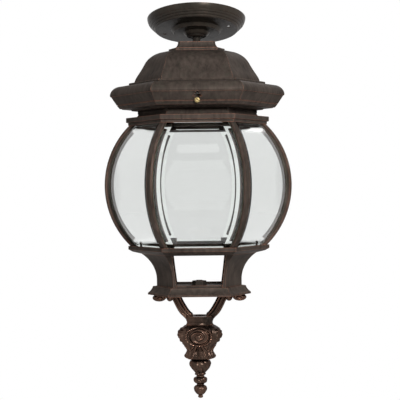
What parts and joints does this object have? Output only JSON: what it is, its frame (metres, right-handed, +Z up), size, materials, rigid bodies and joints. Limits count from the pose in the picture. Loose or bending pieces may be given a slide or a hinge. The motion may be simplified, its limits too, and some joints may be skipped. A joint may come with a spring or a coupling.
{
  "type": "porch ceiling lantern",
  "caption": "Hexagonal ceiling lantern on a tilting pan and ball swivel, with bent bevelled panes in a ribbed cage, an open base, scroll arms and a turned finial.",
  "frame": {"origin": "centre of the circle of the two fixing holes, which is the centre of the swivel ball", "axes": "+Z up along the lantern's axis, -Y towards the viewer, +X to the viewer's right; the ceiling pan is tilted 12 degrees about X"},
  "size_m": [0.2484, 0.2182, 0.5176],
  "materials": {
    "bronze_casting": "cast, painted antique bronze, rubbed copper at the edges",
    "bronze_sheet": "spun sheet, painted antique bronze",
    "bronze_steel": "blackened steel",
    "steel": "zinc plated",
    "brass": "bright",
    "porcelain": "glazed",
    "white_plastic": "moulded",
    "clear_glass": "bent sheet with bevelled edges and a satin middle"
  },
  "bodies": {
    "canopy": {"canopy": "bronze_sheet"},
    "swivel": {"swivel_washer": "brass"},
    "roof": {"swivel_ball": "steel", "stem": "steel", "stem_nuts": "brass", "neck": "bronze_casting", "neck_plinth": "bronze_casting", "roof_dome": "bronze_casting", "roof_washer": "steel", "roof_skirt": "bronze_casting", "lamp_bracket": "steel", "lampholder": "porcelain", "screw_shell": "brass", "centre_contact": "brass", "holder_screws": "steel", "earth_screw": "brass", "terminal_block": "white_plastic"},
    "cage": {"arm_left": "bronze_casting", "arm_right": "bronze_casting", "cheek_left": "bronze_casting", "cheek_right": "bronze_casting", "crown": "bronze_casting", "crown_screws": "steel", "finial_ball": "bronze_casting", "finial_bulb": "bronze_casting", "finial_rod": "steel", "finial_tip": "bronze_casting", "glass_clips": "bronze_sheet", "glass_ring": "bronze_casting", "hub": "bronze_casting", "lower_ring": "bronze_casting", "pane_1": "clear_glass", "pane_2": "clear_glass", "pane_3": "clear_glass", "pane_4": "clear_glass", "pane_5": "clear_glass", "pane_6": "clear_glass", "rib_1": "bronze_casting", "rib_2": "bronze_casting", "rib_3": "bronze_casting", "rib_4": "bronze_casting", "rib_5": "bronze_casting", "rib_6": "bronze_casting", "ring_posts": "bronze_steel", "top_ring": "bronze_casting", "tray": "bronze_casting", "tray_bolt": "bronze_steel", "tray_nut": "bronze_steel", "tray_washer": "bronze_steel", "urn": "bronze_casting"},
    "thumb_front": {"thumb_screw_front": "brass"},
    "thumb_left": {"thumb_screw_left": "brass"},
    "thumb_right": {"thumb_screw_right": "brass"}
  },
  "joints": [
    {"name": "swivel_tip", "type": "hinge", "parent": "canopy", "child": "swivel", "pos_m": [0, 0, 0], "axis": [1, 0, 0], "range_deg": [-28, 6]},
    {"name": "swivel_roll", "type": "hinge", "parent": "swivel", "child": "roof", "pos_m": [0, 0, 0], "axis": [0, 1, 0], "range_deg": [-14, 14]},
    {"name": "cage_drop", "type": "slide", "parent": "roof", "child": "cage", "axis": [0, 0, -1], "range_m": [0, 0.04]},
    {"name": "thumb_front_turn", "type": "hinge", "parent": "cage", "child": "thumb_front", "pos_m": [0, 0, -0.10015], "axis": [0, -1, 0], "range_deg": [0, 720]},
    {"name": "thumb_left_turn", "type": "hinge", "parent": "cage", "child": "thumb_left", "pos_m": [0, 0, -0.10015], "axis": [-0.866, 0.5, 0], "range_deg": [0, 720]},
    {"name": "thumb_right_turn", "type": "hinge", "parent": "cage", "child": "thumb_right", "pos_m": [0, 0, -0.10015], "axis": [0.866, 0.5, 0], "range_deg": [0, 720]}
  ]
}
